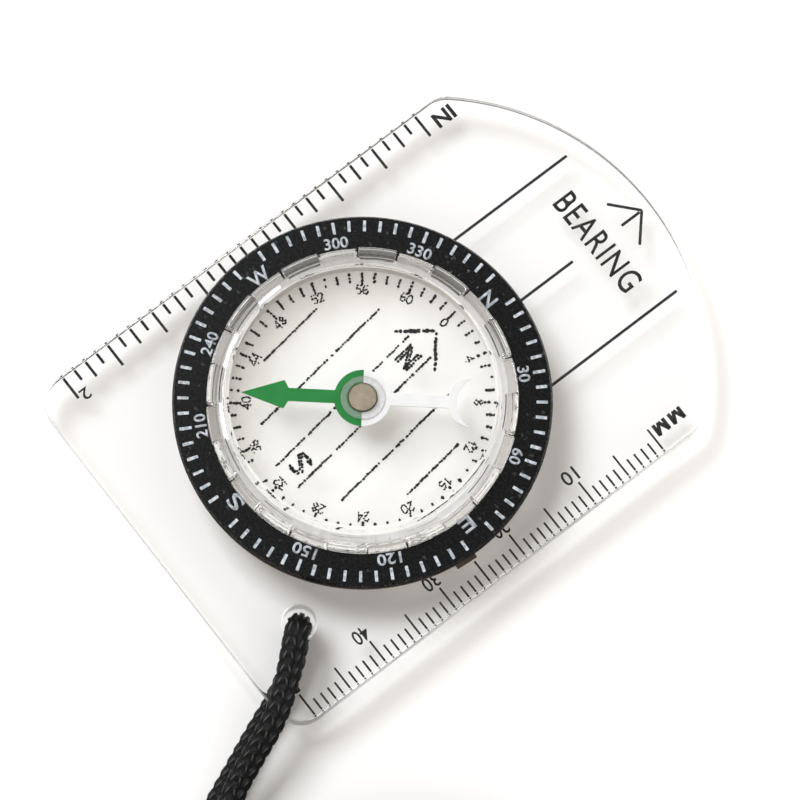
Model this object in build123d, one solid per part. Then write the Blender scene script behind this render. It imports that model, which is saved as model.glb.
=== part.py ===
from build123d import *
import math
import os

# Baseplate compass, in millimetres.
# Origin: on the dial's turning axis, at the face the compass rests on.
# +Z is up, +Y is the direction of travel, +X is the side with the millimetre scale.

# Baseplate
PLATE_WIDTH = 49.0
PLATE_LENGTH = 70.0
PLATE_OFFSET_X = 0.9  # the plate's middle line lies beside the dial's axis
PLATE_REAR_Y = -29.2
PLATE_BOTTOM = 3.2
PLATE_THICKNESS = 2.6
NOSE_RADIUS = 31.5
REAR_CORNER_RADIUS = 3.4
FRONT_CORNER_RADIUS = 3.5
PLATE_EDGE_ROUND = 0.3
LANYARD_HOLE_X = 15.55
LANYARD_HOLE_Y = -21.05
LANYARD_HOLE_RADIUS = 1.9
HOLE_EDGE_ROUND = 0.2

# Capsule and its fit in the plate
BARREL_RADIUS = 16.5
RUNNING_CLEARANCE = 0.08
CAPSULE_BORE_RADIUS = 15.5
FLANGE_RADIUS = 18.0
FLANGE_BOTTOM = 2.0
FLANGE_GAP = 0.1
FLOOR_THICKNESS = 1.0
LEDGE_TOP = 4.0
LEDGE_BORE_RADIUS = 14.4
POST_RADIUS = 2.2
BARREL_TOP = 7.2
SEAL_HEIGHT = 0.2
LENS_TOP = 10.4
LENS_THICKNESS = 1.0
LENS_RADIUS = 15.1
LENS_BORE_RADIUS = 14.3
SHOULDER_RADIUS = 15.8
SHOULDER_TOP = 8.5
PLUG_RADIUS = 0.9
PLUG_POSITION_RADIUS = 12.0
PLUG_ANGLE = 250.0
PLUG_INSET = 0.05

# Bezel ring and its twelve snaps
RING_RADIUS = 21.6
RING_BORE_RADIUS = 17.75
RING_BOTTOM = 6.05
RING_TOP = 7.7
RING_CHAMFER = 0.25
RING_DRAFT = 0.3  # the rim leans in towards its foot
TOOTH_COUNT = 12
TOOTH_BORE_RADIUS = 17.0
TOOTH_TOP = 6.9
TOOTH_ANGLE = 15.4
FIRST_TOOTH_ANGLE = 15.0
HOOK_ANGLE = 14.6
HOOK_INNER_RADIUS = 16.15
HOOK_RADIUS = 17.65
HOOK_TOP = 9.2
HOOK_SLOPE = 0.5
MOULDED_EDGE = 0.12  # chamfer on the clear mouldings' outer edges
KEY_ANGLE = 13.4
KEY_RADIUS = 17.65
KEY_BOTTOM = 6.35
KEY_TOP = 8.0
DIAL_TURN = 1.7  # the ring's N stands this far anticlockwise of +Y

# Friction washer between the ring and the plate
WASHER_THICKNESS = 0.2
WASHER_BORE_RADIUS = 18.2
WASHER_RADIUS = 21.5
WASHER_TAB_WIDTH = 2.6
WASHER_TAB_REACH = 21.95
WASHER_TAB_ANGLE = -5.0

# Dial disc, pivot and needle
DISC_THICKNESS = 0.2
DISC_RADIUS = 15.4
PIN_RADIUS = 0.45
PIN_FOOT_RADIUS = 1.3
PIN_FOOT_HEIGHT = 0.5
PIN_SHAFT_TOP = 7.2
PIN_TIP_Z = 8.15
PIN_TIP_RADIUS = 0.06
NEEDLE_ANGLE = 139.6  # the north half, anticlockwise of +Y
BLADE_BOTTOM = 7.75
BLADE_THICKNESS = 0.3
HUB_RADIUS = 3.25
COLLAR_RADIUS = 2.5
MAGNET_RADIUS = 1.7
MAGNET_BOTTOM = 7.5
MAGNET_TOP = 8.6
MAGNET_CHAMFER = 0.15
COLLAR_TOP = 8.5
COLLAR_CHAMFER = 0.18
JEWEL_RADIUS = 0.8
JEWEL_TOP = 8.35
JEWEL_CONE_DEPTH = 0.45
TIP_CLEARANCE = 0.03
SOUTH_BAR_WIDTH = 1.45
CRESCENT_CENTRE = 12.4
CRESCENT_RADIUS = 2.8
CRESCENT_CUT_RADIUS = 3.37
CRESCENT_CUT_SHIFT = 1.65
NORTH_SHAFT_WIDTH = 1.5
NORTH_TIP = 13.75
NORTH_HEAD_LENGTH = 5.35
NORTH_HEAD_HALF_WIDTH = 1.65
NORTH_BARB_SWEEP = 0.5
NORTH_BARB_ROUND = 0.2

# Lanyard: one loop of braided cord through the hole, its ends tied in a knot
CORD_DIAMETER = 3.0
FRONT_ROUTE = [
    (15.75, -21.15, 4.5),
    (15.75, -21.15, 5.7),
    (16.15, -21.7, 6.75),
    (16.9, -22.6, 7.35),
    (18.3, -24.1, 7.5),
    (20.8, -26.95, 7.5),
    (22.95, -30.1, 7.5),
    (24.6, -34.5, 6.0),
    (26.4, -38.9, 4.8),
    (29.9, -43.1, 4.0),
    (35.6, -46.6, 2.1),
    (43.2, -49.6, 1.5),
    (50.8, -52.4, 1.5),
]
BACK_ROUTE = [
    (15.75, -21.15, 4.5),
    (15.75, -21.15, 3.35),
    (16.12, -21.65, 2.2),
    (16.95, -22.55, 1.6),
    (18.4, -24.2, 1.5),
    (20.3, -27.1, 1.5),
    (21.9, -31.5, 1.5),
    (24.3, -37.0, 1.5),
    (26.6, -42.4, 1.5),
    (28.6, -46.9, 1.5),
    (31.3, -50.0, 1.9),
]
TAIL_ROUTE = [
    (38.9, -36.6, 7.4),
    (38.0, -41.0, 7.2),
    (36.7, -45.6, 6.2),
    (34.7, -49.2, 4.2),
]
COIL_CENTRE = (57.5, -34.8)
COIL_INNER_RADIUS = 11.0
COIL_OUTER_RADIUS = 20.3
COIL_HEIGHT = 9.0
KNOT_CENTRE = (33.6, -51.3, 2.7)
KNOT_RADIUS = 3.2

PLATE_TOP = PLATE_BOTTOM + PLATE_THICKNESS
DISC_TOP = LEDGE_TOP + DISC_THICKNESS
LENS_SKIRT_BOTTOM = BARREL_TOP + SEAL_HEIGHT


def polar(radius, degrees):
    angle = math.radians(degrees)
    return (radius * math.cos(angle), radius * math.sin(angle))


def turned(profile):
    """A solid of revolution about Z from (radius, z) points."""
    outline = Polyline(*[(r, 0, z) for r, z in profile], close=True)
    return revolve(make_face(outline), Axis.Z, 360)


def disc(radius, bottom, top):
    return Pos(0, 0, bottom) * extrude(Circle(radius), top - bottom)


def annulus(inner, outer, bottom, top):
    return disc(outer, bottom, top) - disc(inner, bottom - 1, top + 1)


def wedge(middle, width):
    """A tall wedge from the axis outward, width degrees wide, around the angle middle."""
    reach = 2 * RING_RADIUS
    outline = Polyline(
        (0, 0),
        polar(reach, middle - width / 2),
        polar(reach, middle + width / 2),
        close=True,
    )
    return extrude(make_face(outline), LENS_TOP)


def sector(inner, outer, middle, width, bottom, top):
    """A piece of an annulus, width degrees wide, around the angle middle."""
    return annulus(inner, outer, bottom, top) & wedge(middle, width)


def snap_angles(offset):
    step = 360 / TOOTH_COUNT
    return [90 + DIAL_TURN - offset - k * step for k in range(TOOTH_COUNT)]


def baseplate():
    left = PLATE_OFFSET_X - PLATE_WIDTH / 2
    right = PLATE_OFFSET_X + PLATE_WIDTH / 2
    front = PLATE_REAR_Y + PLATE_LENGTH
    nose_y = front - NOSE_RADIUS
    corner_y = nose_y + math.sqrt(NOSE_RADIUS**2 - (PLATE_WIDTH / 2) ** 2)
    rear = Line((left, PLATE_REAR_Y), (right, PLATE_REAR_Y))
    side = Line((right, PLATE_REAR_Y), (right, corner_y))
    nose = ThreePointArc((right, corner_y), (PLATE_OFFSET_X, front), (left, corner_y))
    other = Line((left, corner_y), (left, PLATE_REAR_Y))
    outline = make_face([rear, side, nose, other])
    corners = outline.vertices().sort_by(Axis.Y)
    outline = fillet(corners[:2], REAR_CORNER_RADIUS)
    corners = outline.vertices().filter_by(lambda v: abs(v.Y - corner_y) < 0.1)
    outline = fillet(corners, FRONT_CORNER_RADIUS)
    plate = Pos(0, 0, PLATE_BOTTOM) * extrude(outline, PLATE_THICKNESS)
    rims = plate.faces().filter_by(Axis.Z).edges()
    plate = fillet(rims, PLATE_EDGE_ROUND)
    dial_hole = disc(BARREL_RADIUS + RUNNING_CLEARANCE, PLATE_BOTTOM - 1, PLATE_TOP + 1)
    plate -= dial_hole
    lanyard_hole = Pos(LANYARD_HOLE_X, LANYARD_HOLE_Y, 0) * disc(
        LANYARD_HOLE_RADIUS, PLATE_BOTTOM - 1, PLATE_TOP + 1
    )
    plate -= lanyard_hole
    mouth = [
        e
        for e in plate.edges().filter_by(GeomType.CIRCLE)
        if abs(e.radius - LANYARD_HOLE_RADIUS) < 0.01
    ]
    return fillet(mouth, HOLE_EDGE_ROUND)


def friction_washer():
    top = PLATE_TOP + WASHER_THICKNESS
    washer = annulus(WASHER_BORE_RADIUS, WASHER_RADIUS, PLATE_TOP, top)
    tab_length = WASHER_TAB_REACH - WASHER_RADIUS + 2
    tab_middle = WASHER_TAB_REACH - tab_length / 2
    tab = Pos(tab_middle, 0, PLATE_TOP) * extrude(
        Rectangle(tab_length, WASHER_TAB_WIDTH), WASHER_THICKNESS
    )
    tab -= disc(WASHER_RADIUS - 1, PLATE_TOP - 1, top + 1)
    return washer + Rot(0, 0, WASHER_TAB_ANGLE) * tab


def bezel_ring():
    c = RING_CHAMFER
    ring = turned(
        [
            (RING_BORE_RADIUS, RING_BOTTOM),
            (RING_RADIUS - RING_DRAFT, RING_BOTTOM),
            (RING_RADIUS, RING_TOP - 2 * c),
            (RING_RADIUS - c, RING_TOP),
            (RING_BORE_RADIUS, RING_TOP),
        ]
    )
    for angle in snap_angles(FIRST_TOOTH_ANGLE):
        ring += sector(
            TOOTH_BORE_RADIUS,
            RING_BORE_RADIUS + 0.5,
            angle,
            TOOTH_ANGLE,
            RING_BOTTOM,
            TOOTH_TOP,
        )
    return ring


def snap_hooks():
    """The twelve hooks that stand round the lens and hold the ring down by its teeth."""
    ring = turned(
        [
            (BARREL_RADIUS, TOOTH_TOP + 0.05),
            (HOOK_RADIUS, TOOTH_TOP + 0.05),
            (HOOK_RADIUS, HOOK_TOP - HOOK_SLOPE),
            (HOOK_RADIUS - HOOK_SLOPE, HOOK_TOP),
            (HOOK_INNER_RADIUS, HOOK_TOP),
            (HOOK_INNER_RADIUS, SHOULDER_TOP - 0.3),
            (BARREL_RADIUS, SHOULDER_TOP - 0.3),
        ]
    )
    hook = ring & wedge(0, HOOK_ANGLE)
    upper = [e for e in hook.edges() if e.center().Z > HOOK_TOP - HOOK_SLOPE - MOULDED_EDGE]
    hook = chamfer(upper, MOULDED_EDGE)
    return [Rot(0, 0, angle) * hook for angle in snap_angles(FIRST_TOOTH_ANGLE)]


def clear_key():
    """One clear block that fills the gap between two hooks, around the angle 0."""
    key = sector(BARREL_RADIUS - 0.3, KEY_RADIUS, 0, KEY_ANGLE, KEY_BOTTOM, KEY_TOP)
    key -= disc(BARREL_RADIUS + 0.05, KEY_BOTTOM - 1, LENS_SKIRT_BOTTOM)
    upper = [e for e in key.edges() if e.center().Z > KEY_TOP - 0.01 and e.center().X > BARREL_RADIUS]
    return chamfer(upper, MOULDED_EDGE)


def capsule_housing():
    """The clear top: flat lens, stepped wall, twelve hooks and twelve keys between them."""
    skirt = LENS_SKIRT_BOTTOM
    lens_bottom = LENS_TOP - LENS_THICKNESS
    body = turned(
        [
            (CAPSULE_BORE_RADIUS, skirt),
            (BARREL_RADIUS, skirt),
            (BARREL_RADIUS, SHOULDER_TOP - 0.2),
            (BARREL_RADIUS - 0.2, SHOULDER_TOP),
            (SHOULDER_RADIUS, SHOULDER_TOP + 0.1),
            (LENS_RADIUS + 0.25, LENS_TOP - 0.3),
            (LENS_RADIUS, LENS_TOP),
            (0, LENS_TOP),
            (0, lens_bottom),
            (LENS_BORE_RADIUS, lens_bottom),
            (CAPSULE_BORE_RADIUS - 0.3, SHOULDER_TOP - 0.4),
        ]
    )
    for hook in snap_hooks():
        body += hook
    key = clear_key()
    for angle in snap_angles(0):
        body += Rot(0, 0, angle) * key
    return body


def capsule_base():
    """The clear cup: floor, flange under the plate, the barrel that turns in the plate, the dial disc's ledge and post."""
    flange_top = PLATE_BOTTOM - FLANGE_GAP
    cup = turned(
        [
            (0, 0),
            (BARREL_RADIUS - 0.3, 0),
            (BARREL_RADIUS, 0.3),
            (BARREL_RADIUS, FLANGE_BOTTOM),
            (FLANGE_RADIUS - 0.2, FLANGE_BOTTOM),
            (FLANGE_RADIUS, FLANGE_BOTTOM + 0.2),
            (FLANGE_RADIUS, flange_top),
            (BARREL_RADIUS, flange_top),
            (BARREL_RADIUS, BARREL_TOP),
            (CAPSULE_BORE_RADIUS, BARREL_TOP),
            (CAPSULE_BORE_RADIUS, LEDGE_TOP),
            (LEDGE_BORE_RADIUS, LEDGE_TOP),
            (LEDGE_BORE_RADIUS, FLOOR_THICKNESS),
            (POST_RADIUS, FLOOR_THICKNESS),
            (POST_RADIUS, LEDGE_TOP),
            (0, LEDGE_TOP),
        ]
    )
    plug_x, plug_y = polar(PLUG_POSITION_RADIUS, PLUG_ANGLE)
    return cup - Pos(plug_x, plug_y, 0) * disc(PLUG_RADIUS, -1, FLOOR_THICKNESS + 1)


def filler_plug():
    """The stopper pressed into the hole the capsule is filled through."""
    x, y = polar(PLUG_POSITION_RADIUS, PLUG_ANGLE)
    plug = disc(PLUG_RADIUS, PLUG_INSET, FLOOR_THICKNESS)
    tip = Pos(0, 0, FLOOR_THICKNESS) * Cone(
        PLUG_RADIUS - 0.1, PLUG_RADIUS * 0.6, 0.4, align=(Align.CENTER, Align.CENTER, Align.MIN)
    )
    return Pos(x, y, 0) * (plug + tip)


def capsule_seal():
    return annulus(CAPSULE_BORE_RADIUS, BARREL_RADIUS, BARREL_TOP, LENS_SKIRT_BOTTOM)


def dial_disc():
    return annulus(PIN_FOOT_RADIUS, DISC_RADIUS, LEDGE_TOP, DISC_TOP)


def pivot_pin():
    return turned(
        [
            (0, LEDGE_TOP),
            (PIN_FOOT_RADIUS, LEDGE_TOP),
            (PIN_FOOT_RADIUS, LEDGE_TOP + PIN_FOOT_HEIGHT),
            (PIN_RADIUS + 0.3, LEDGE_TOP + PIN_FOOT_HEIGHT + 0.3),
            (PIN_RADIUS, LEDGE_TOP + PIN_FOOT_HEIGHT + 0.8),
            (PIN_RADIUS, PIN_SHAFT_TOP),
            (PIN_TIP_RADIUS, PIN_TIP_Z),
            (0, PIN_TIP_Z),
        ]
    )


def needle_turn(shape):
    """Turns a shape drawn with the north half along +Y into its rest position."""
    return Rot(0, 0, NEEDLE_ANGLE) * shape


def blade(sketch):
    return Pos(0, 0, BLADE_BOTTOM) * extrude(sketch, BLADE_THICKNESS)


def half_plane(sign):
    size = 4 * NORTH_TIP
    return Pos(0, sign * size / 2) * Rectangle(size, size)


def needle_collar():
    """The clear ring that holds the two halves of the needle to the magnet."""
    foot = BLADE_BOTTOM + BLADE_THICKNESS
    c = COLLAR_CHAMFER
    return turned(
        [
            (MAGNET_RADIUS, foot),
            (COLLAR_RADIUS, foot),
            (COLLAR_RADIUS, COLLAR_TOP - c),
            (COLLAR_RADIUS - c, COLLAR_TOP),
            (MAGNET_RADIUS + c, COLLAR_TOP),
            (MAGNET_RADIUS, COLLAR_TOP - c),
        ]
    )


def needle_south_bar():
    """The white half of the needle: half of the flange, a bar and a crescent end."""
    crescent = Pos(0, -CRESCENT_CENTRE) * Circle(CRESCENT_RADIUS)
    crescent -= Pos(0, -CRESCENT_CENTRE - CRESCENT_CUT_SHIFT) * Circle(CRESCENT_CUT_RADIUS)
    bar_end = CRESCENT_CENTRE - CRESCENT_RADIUS + SOUTH_BAR_WIDTH / 3
    bar = Pos(0, -bar_end / 2) * Rectangle(SOUTH_BAR_WIDTH, bar_end)
    south = (Circle(HUB_RADIUS) & half_plane(-1)) + (bar + crescent)
    south -= Circle(MAGNET_RADIUS)
    return needle_turn(blade(south))


def needle_north_arrow():
    """The green half of the needle: half of the flange and an arrow."""
    neck = NORTH_TIP - NORTH_HEAD_LENGTH
    barb = neck + NORTH_BARB_SWEEP
    shaft = Pos(0, barb / 2) * Rectangle(NORTH_SHAFT_WIDTH, barb)
    head = make_face(
        Polyline(
            (-NORTH_HEAD_HALF_WIDTH, barb),
            (-NORTH_SHAFT_WIDTH / 2, neck),
            (NORTH_SHAFT_WIDTH / 2, neck),
            (NORTH_HEAD_HALF_WIDTH, barb),
            (0, NORTH_TIP),
            close=True,
        )
    )
    corners = head.vertices().sort_by(Axis.X)
    head = fillet([corners[0], corners[-1]], NORTH_BARB_ROUND)
    north = (Circle(HUB_RADIUS) & half_plane(1)) + shaft + head
    north -= Circle(MAGNET_RADIUS)
    return needle_turn(blade(north))


def hub_magnet():
    """The plated magnet disc, closed on top and bored from below for the jewel."""
    return turned(
        [
            (JEWEL_RADIUS, MAGNET_BOTTOM),
            (MAGNET_RADIUS, MAGNET_BOTTOM),
            (MAGNET_RADIUS, MAGNET_TOP - MAGNET_CHAMFER),
            (MAGNET_RADIUS - MAGNET_CHAMFER, MAGNET_TOP),
            (0, MAGNET_TOP),
            (0, JEWEL_TOP),
            (JEWEL_RADIUS, JEWEL_TOP),
        ]
    )


def jewel_bearing():
    """A cup bearing: its conical seat hangs on the pin's tip."""
    cone_top = PIN_TIP_Z + TIP_CLEARANCE
    return turned(
        [
            (JEWEL_RADIUS - 0.15, MAGNET_BOTTOM),
            (JEWEL_RADIUS, MAGNET_BOTTOM),
            (JEWEL_RADIUS, JEWEL_TOP),
            (0, JEWEL_TOP),
            (0, cone_top),
            (PIN_TIP_RADIUS + 0.04, cone_top),
            (JEWEL_RADIUS - 0.15, cone_top - JEWEL_CONE_DEPTH),
        ]
    )


def corner_radii(route):
    """An arc at each corner as large as its two runs allow."""
    points = [Vector(*p) for p in route]
    radii = []
    for before, corner, after in zip(points, points[1:], points[2:]):
        turn = (corner - before).get_angle(after - corner)
        shorter = min((corner - before).length, (after - corner).length)
        radii.append(0.45 * shorter / math.tan(math.radians(turn) / 2))
    return radii


def tube(name, route):
    radii = corner_radii(route)
    print(name, "arc radii", [round(r, 1) for r in radii])
    path = FilletPolyline(*route, radius=radii)
    section = Plane(origin=path @ 0, z_dir=path % 0) * Circle(CORD_DIAMETER / 2)
    solid = sweep(section, path=path)
    expected = math.pi * (CORD_DIAMETER / 2) ** 2 * path.length
    print(name, "length", round(path.length, 1), "volume ratio", round(solid.volume / expected, 4))
    return solid


def lanyard_coil():
    section = Pos((COIL_INNER_RADIUS + COIL_OUTER_RADIUS) / 2, COIL_HEIGHT / 2) * RectangleRounded(
        COIL_OUTER_RADIUS - COIL_INNER_RADIUS, COIL_HEIGHT, CORD_DIAMETER / 2
    )
    ring = revolve(Plane.XZ * section, Axis.Z, 360)
    return Pos(*COIL_CENTRE, 0) * ring


def lanyard_knot():
    ball = Sphere(KNOT_RADIUS) - Pos(0, 0, -KNOT_CENTRE[2] - KNOT_RADIUS) * Box(20, 20, 2 * KNOT_RADIUS)
    return Pos(*KNOT_CENTRE) * ball


def write(name, shape):
    solids = shape.solids()
    single = solids[0] if len(solids) == 1 else Compound(solids)
    single.label = name
    export_step(single, f"parts/{name}.step")


def main():
    os.makedirs("parts", exist_ok=True)
    knot = lanyard_knot()
    write("baseplate", baseplate())
    write("friction_washer", friction_washer())
    write("bezel_ring", bezel_ring())
    write("capsule_housing", capsule_housing())
    write("capsule_base", capsule_base())
    write("capsule_seal", capsule_seal())
    write("filler_plug", filler_plug())
    write("dial_disc", dial_disc())
    write("pivot_pin", pivot_pin())
    write("needle_south_bar", needle_south_bar())
    write("needle_north_arrow", needle_north_arrow())
    write("needle_collar", needle_collar())
    write("hub_magnet", hub_magnet())
    write("jewel_bearing", jewel_bearing())
    write("lanyard_front_strand", tube("lanyard_front_strand", FRONT_ROUTE))
    write("lanyard_back_strand", tube("lanyard_back_strand", BACK_ROUTE))
    write("lanyard_tail", tube("lanyard_tail", TAIL_ROUTE))
    write("lanyard_coil", lanyard_coil())
    write("lanyard_knot", knot)


main()
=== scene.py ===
import math
import random

import bmesh
import bpy
from mathutils import Matrix, Vector


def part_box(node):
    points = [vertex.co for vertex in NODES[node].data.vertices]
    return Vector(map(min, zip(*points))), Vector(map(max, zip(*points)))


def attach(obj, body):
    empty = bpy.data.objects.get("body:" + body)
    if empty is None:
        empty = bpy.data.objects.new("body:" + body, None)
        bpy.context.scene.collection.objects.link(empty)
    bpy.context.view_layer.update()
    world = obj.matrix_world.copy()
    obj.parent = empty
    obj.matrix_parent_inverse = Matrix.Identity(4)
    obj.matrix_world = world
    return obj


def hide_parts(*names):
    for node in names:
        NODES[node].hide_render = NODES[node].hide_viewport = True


# The baseplate compass: looks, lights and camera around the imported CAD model.
# Sizes are in millimetres until MM turns them into metres.

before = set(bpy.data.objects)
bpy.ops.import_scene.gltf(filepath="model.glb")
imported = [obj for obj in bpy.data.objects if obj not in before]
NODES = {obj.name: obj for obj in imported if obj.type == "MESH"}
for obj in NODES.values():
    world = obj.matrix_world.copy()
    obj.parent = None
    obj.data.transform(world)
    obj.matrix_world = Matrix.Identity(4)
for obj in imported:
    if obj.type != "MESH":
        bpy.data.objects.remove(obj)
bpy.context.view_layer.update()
MM = 0.001

random.seed(7)

# ---------------------------------------------------------------- sizes taken from the imported model


def low(node):
    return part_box(node)[0] / MM


def high(node):
    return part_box(node)[1] / MM


PLATE_BOTTOM = low("baseplate").z
RING_TOP = high("bezel_ring").z
DISC_TOP = high("dial_disc").z

# Driving sizes repeated from the CAD
DIAL_TURN = 1.7
CORD_DIAMETER = 3.0
FRONT_ROUTE = [
    (15.75, -21.15, 4.5),
    (15.75, -21.15, 5.7),
    (16.15, -21.7, 6.75),
    (16.9, -22.6, 7.35),
    (18.3, -24.1, 7.5),
    (20.8, -26.95, 7.5),
    (22.95, -30.1, 7.5),
    (24.6, -34.5, 6.0),
    (26.4, -38.9, 4.8),
    (29.9, -43.1, 4.0),
    (35.6, -46.6, 2.1),
    (43.2, -49.6, 1.5),
    (50.8, -52.4, 1.5),
]
BACK_ROUTE = [
    (15.75, -21.15, 4.5),
    (15.75, -21.15, 3.35),
    (16.12, -21.65, 2.2),
    (16.95, -22.55, 1.6),
    (18.4, -24.2, 1.5),
    (20.3, -27.1, 1.5),
    (21.9, -31.5, 1.5),
    (24.3, -37.0, 1.5),
    (26.6, -42.4, 1.5),
    (28.6, -46.9, 1.5),
    (31.3, -50.0, 1.9),
]
TAIL_ROUTE = [
    (38.9, -36.6, 7.4),
    (38.0, -41.0, 7.2),
    (36.7, -45.6, 6.2),
    (34.7, -49.2, 4.2),
]
COIL_CENTRE = (57.5, -34.8)
KNOT_CENTRE = (33.6, -51.3, 2.7)

# ---------------------------------------------------------------- camera

CAMERA_AZIMUTH = 49.3
CAMERA_ELEVATION = 77.4
CAMERA_ROLL = 3.0
CAMERA_DISTANCE = 570.3
CAMERA_TARGET = Vector((1.97, 3.89, 4.05))
SENSOR = 36.0
LENS = 225.0


def make_camera():
    azimuth, elevation, roll = (
        math.radians(a) for a in (CAMERA_AZIMUTH, CAMERA_ELEVATION, CAMERA_ROLL)
    )
    back = Vector(
        (
            math.sin(azimuth) * math.cos(elevation),
            -math.cos(azimuth) * math.cos(elevation),
            math.sin(elevation),
        )
    )
    right = Vector((math.cos(azimuth), math.sin(azimuth), 0))
    up = back.cross(right)
    tilted_right = right * math.cos(roll) + up * math.sin(roll)
    tilted_up = up * math.cos(roll) - right * math.sin(roll)
    data = bpy.data.cameras.new("camera")
    data.sensor_width = SENSOR
    data.lens = LENS
    data.clip_start = 0.01
    data.clip_end = 20
    camera = bpy.data.objects.new("camera", data)
    turn = Matrix((tilted_right, tilted_up, back)).transposed()
    place = (CAMERA_TARGET + back * CAMERA_DISTANCE) * MM
    camera.matrix_world = Matrix.Translation(place) @ turn.to_4x4()
    bpy.context.scene.collection.objects.link(camera)
    bpy.context.scene.camera = camera


make_camera()

# ---------------------------------------------------------------- material helpers


class Nodes:
    """A material's node tree with short ways to add and join nodes."""

    def __init__(self, name):
        self.material = bpy.data.materials.new(name)
        self.material.use_nodes = True
        self.tree = self.material.node_tree
        self.shader = self.tree.nodes["Principled BSDF"]
        self.output = self.tree.nodes["Material Output"]

    def add(self, kind, **settings):
        node = self.tree.nodes.new(kind)
        for key, value in settings.items():
            setattr(node, key, value)
        return node

    def join(self, source, target):
        self.tree.links.new(source, target)

    def set(self, **values):
        for key, value in values.items():
            self.shader.inputs[key.replace("_", " ")].default_value = value

    def place(self):
        return self.add("ShaderNodeTexCoord").outputs["Object"]

    def noise(self, scale, detail=2.0, roughness=0.5, vector=None):
        node = self.add("ShaderNodeTexNoise")
        node.inputs["Scale"].default_value = scale
        node.inputs["Detail"].default_value = detail
        node.inputs["Roughness"].default_value = roughness
        self.join(vector or self.place(), node.inputs["Vector"])
        return node.outputs["Fac"]

    def stretched(self, scale, vector=None):
        node = self.add("ShaderNodeMapping")
        node.inputs["Scale"].default_value = scale
        self.join(vector or self.place(), node.inputs["Vector"])
        return node.outputs["Vector"]

    def remap(self, value, from_low, from_high, to_low, to_high):
        node = self.add("ShaderNodeMapRange")
        for name, number in (
            ("From Min", from_low),
            ("From Max", from_high),
            ("To Min", to_low),
            ("To Max", to_high),
        ):
            node.inputs[name].default_value = number
        self.join(value, node.inputs["Value"])
        return node.outputs["Result"]

    def math(self, operation, first, second=None):
        node = self.add("ShaderNodeMath", operation=operation)
        for socket, value in zip(node.inputs, (first, second)):
            if value is None:
                continue
            if isinstance(value, (int, float)):
                socket.default_value = value
            else:
                self.join(value, socket)
        return node.outputs[0]

    def blend(self, factor, first, second):
        node = self.add("ShaderNodeMix", data_type="RGBA")
        self.join(factor, node.inputs["Factor"])
        for name, value in (("A", first), ("B", second)):
            socket = [s for s in node.inputs if s.name == name and s.type == "RGBA"][0]
            if isinstance(value, tuple):
                socket.default_value = value
            else:
                self.join(value, socket)
        return [s for s in node.outputs if s.type == "RGBA"][0]

    def paint(self, tone, dark, light):
        """Colours the shader between dark and light by a noise."""
        colour = self.blend(self.remap(tone, 0.3, 0.7, 0, 1), dark, light)
        self.join(colour, self.shader.inputs["Base Color"])

    def bump(self, height, strength, distance):
        node = self.add("ShaderNodeBump")
        node.inputs["Strength"].default_value = strength
        node.inputs["Distance"].default_value = distance
        self.join(height, node.inputs["Height"])
        self.join(node.outputs["Normal"], self.shader.inputs["Normal"])

    def levelness(self):
        """1 on level faces, 0 on upright ones."""
        normal = self.add("ShaderNodeSeparateXYZ")
        self.join(self.add("ShaderNodeNewGeometry").outputs["Normal"], normal.inputs[0])
        return self.math("ABSOLUTE", normal.outputs["Z"])

    def clear_to_lamps(self, wall, face, inside=None):
        """Lets light through: upright walls tint it by wall and flat faces by face.
        inside is 1 where a face only parts clear plastic from the liquid it holds, and so isn't seen."""
        light_path = self.add("ShaderNodeLightPath")
        tint = self.blend(self.remap(self.levelness(), 0.5, 0.97, 0, 1), wall, face)
        pane = self.add("ShaderNodeBsdfTransparent")
        self.join(tint, pane.inputs["Color"])
        shown = self.shader.outputs[0]
        for kind in ("Is Shadow Ray", "Is Diffuse Ray"):
            mix = self.add("ShaderNodeMixShader")
            self.join(light_path.outputs[kind], mix.inputs["Fac"])
            self.join(shown, mix.inputs[1])
            self.join(pane.outputs[0], mix.inputs[2])
            shown = mix.outputs[0]
        if inside is not None:
            unseen = self.add("ShaderNodeBsdfTransparent")
            open_mix = self.add("ShaderNodeMixShader")
            self.join(inside, open_mix.inputs["Fac"])
            self.join(shown, open_mix.inputs[1])
            self.join(unseen.outputs[0], open_mix.inputs[2])
            shown = open_mix.outputs[0]
        self.join(shown, self.output.inputs["Surface"])

    def within(self, value, lowest, highest):
        """1 where value is between the two, else 0."""
        above = self.math("GREATER_THAN", value, lowest)
        below = self.math("LESS_THAN", value, highest)
        return self.math("MULTIPLY", above, below)

    def in_cylinder(self, centre, radius, bottom, top):
        """1 inside an upright cylinder, else 0."""
        place = self.add("ShaderNodeSeparateXYZ")
        self.join(self.place(), place.inputs[0])
        x = self.math("SUBTRACT", place.outputs[0], centre[0] * MM)
        y = self.math("SUBTRACT", place.outputs[1], centre[1] * MM)
        squares = self.math("ADD", self.math("MULTIPLY", x, x), self.math("MULTIPLY", y, y))
        distance = self.math("SQRT", squares)
        inside = self.within(distance, -1, radius * MM)
        return self.math("MULTIPLY", inside, self.within(place.outputs[2], bottom * MM, top * MM))

    def wetted(self):
        """1 on the capsule's inner faces and its glued joints, which the liquid and glue hide."""
        filled = self.in_cylinder((0, 0), WET_RADIUS, WET_BOTTOM, WET_TOP)
        glued = self.in_cylinder((0, 0), GLUE_RADIUS, GLUE_BOTTOM, GLUE_TOP)
        plug = self.in_cylinder(PLUG_PLACE, PLUG_REACH, PLUG_BOTTOM, WET_TOP)
        return self.math("MAXIMUM", self.math("MAXIMUM", filled, glued), plug)

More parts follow.
